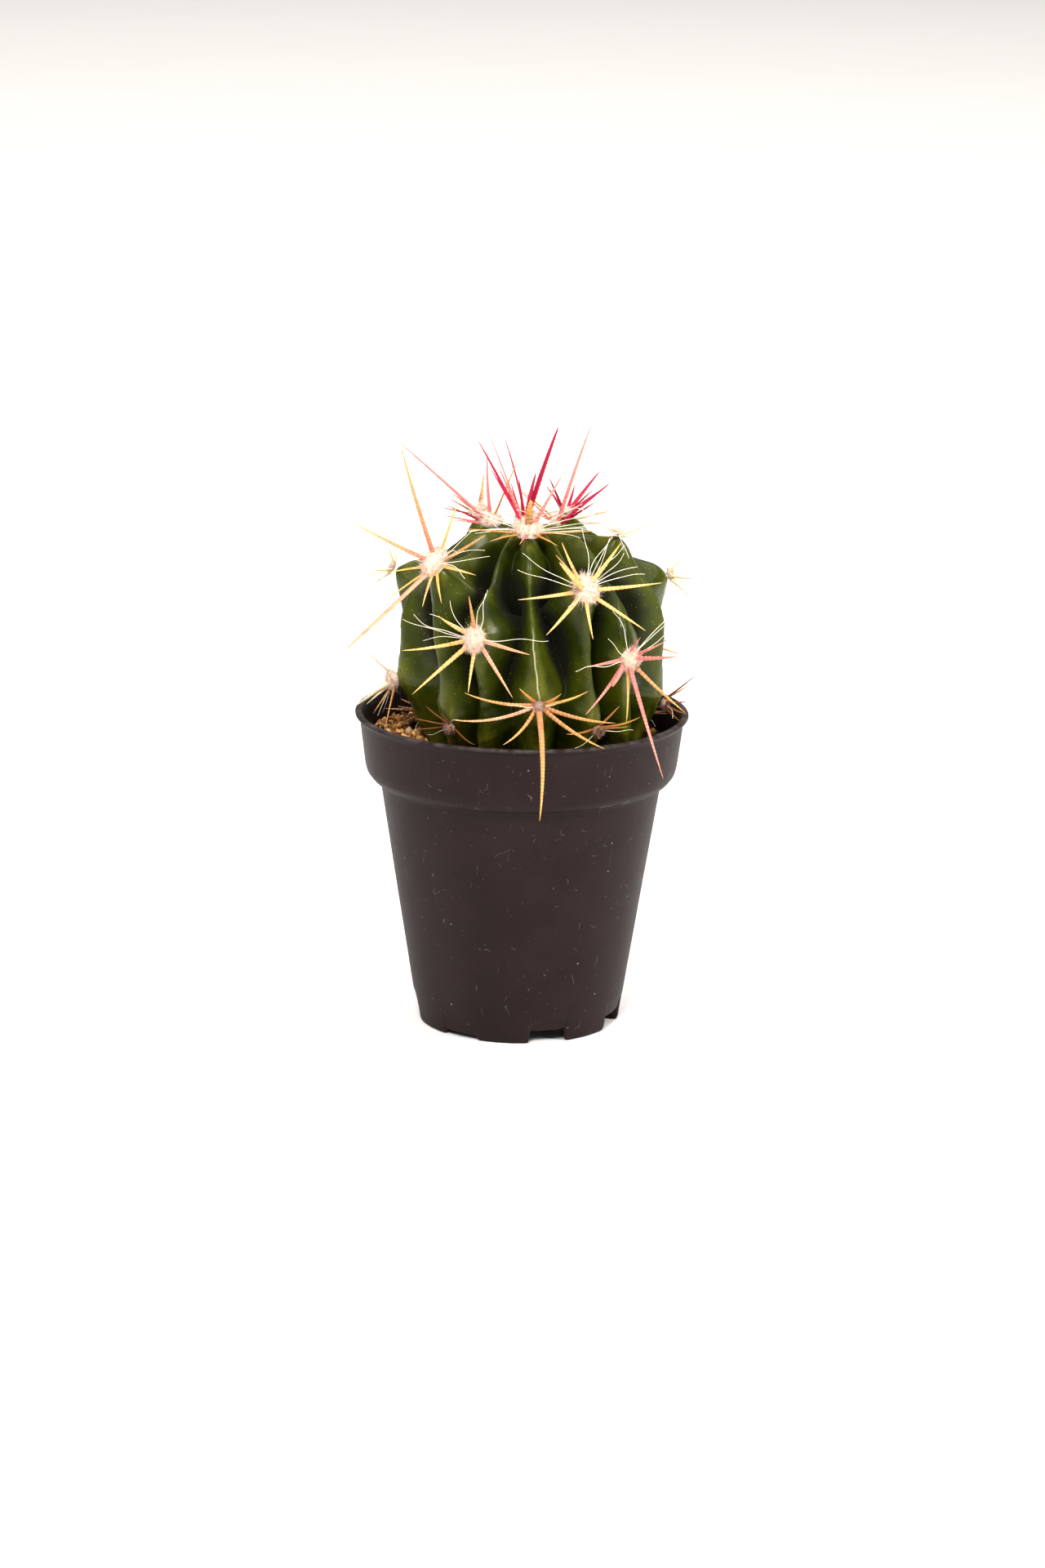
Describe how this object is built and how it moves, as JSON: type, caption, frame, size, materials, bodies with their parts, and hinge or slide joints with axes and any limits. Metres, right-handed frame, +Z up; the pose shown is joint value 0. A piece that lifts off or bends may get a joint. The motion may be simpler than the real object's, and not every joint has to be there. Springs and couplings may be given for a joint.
{
  "type": "potted round cactus",
  "caption": "Young round barrel cactus with deep ribs, woolly areoles and long coloured spines, growing in a small tapered black nursery pot",
  "frame": {"origin": "on the standing surface under the middle of the whole plant's box, which is also the pot's axis within 0.3 mm", "axes": "+Z up along the pot's axis; -Y is the front, the side with the widest spread of spines seen in the reference view; +X is to the right seen from the front"},
  "size_m": [0.0568, 0.0845, 0.1009],
  "materials": {
    "pot_plastic": "thin black plastic with a soft sheen, fine scratches, pale scuffs and dust",
    "soil": "dark brown peat with tan grit, rough and damp",
    "grit": "tan and golden mineral and bark grains, dull",
    "stem_skin": "waxy dark green skin, yellower along the crests, with tiny pale dots",
    "wool": "short cream plant wool, felted",
    "spine_crimson": "young spines, crimson at the root and paler to the tip, ringed",
    "spine_yellow": "horn-like spines, pink to straw yellow, finely ringed",
    "spine_brown": "old spines, brown and straw yellow, dull"
  },
  "bodies": {
    "root": {"nursery_pot": "pot_plastic", "potting_soil": "soil", "cactus_stem": "stem_skin", "spines_01": "spine_crimson", "spines_02": "spine_crimson", "spines_03": "spine_crimson", "spines_04": "spine_crimson", "spines_05": "spine_crimson", "spines_06": "spine_yellow", "spines_07": "spine_yellow", "spines_08": "spine_yellow", "spines_09": "spine_yellow", "spines_10": "spine_yellow", "spines_11": "spine_yellow", "spines_12": "spine_yellow", "spines_13": "spine_yellow", "spines_14": "spine_yellow", "spines_15": "spine_yellow", "spines_16": "spine_yellow", "spines_17": "spine_yellow", "spines_18": "spine_yellow", "spines_19": "spine_yellow", "spines_20": "spine_brown", "spines_21": "spine_brown", "spines_22": "spine_brown", "spines_23": "spine_brown", "spines_24": "spine_brown", "spines_25": "spine_brown", "spines_26": "spine_brown", "wool_01": "wool", "wool_02": "wool", "wool_03": "wool", "wool_04": "wool", "wool_05": "wool", "wool_06": "wool", "wool_07": "wool", "wool_08": "wool", "wool_09": "wool", "wool_10": "wool", "wool_11": "wool", "wool_12": "wool", "wool_13": "wool", "wool_14": "wool", "wool_15": "wool", "wool_16": "wool", "wool_17": "wool", "grit_1": "grit", "grit_2": "grit", "grit_3": "grit", "grit_4": "grit", "grit_5": "grit", "grit_6": "grit", "grit_7": "grit", "grit_8": "grit"}
  },
  "joints": []
}
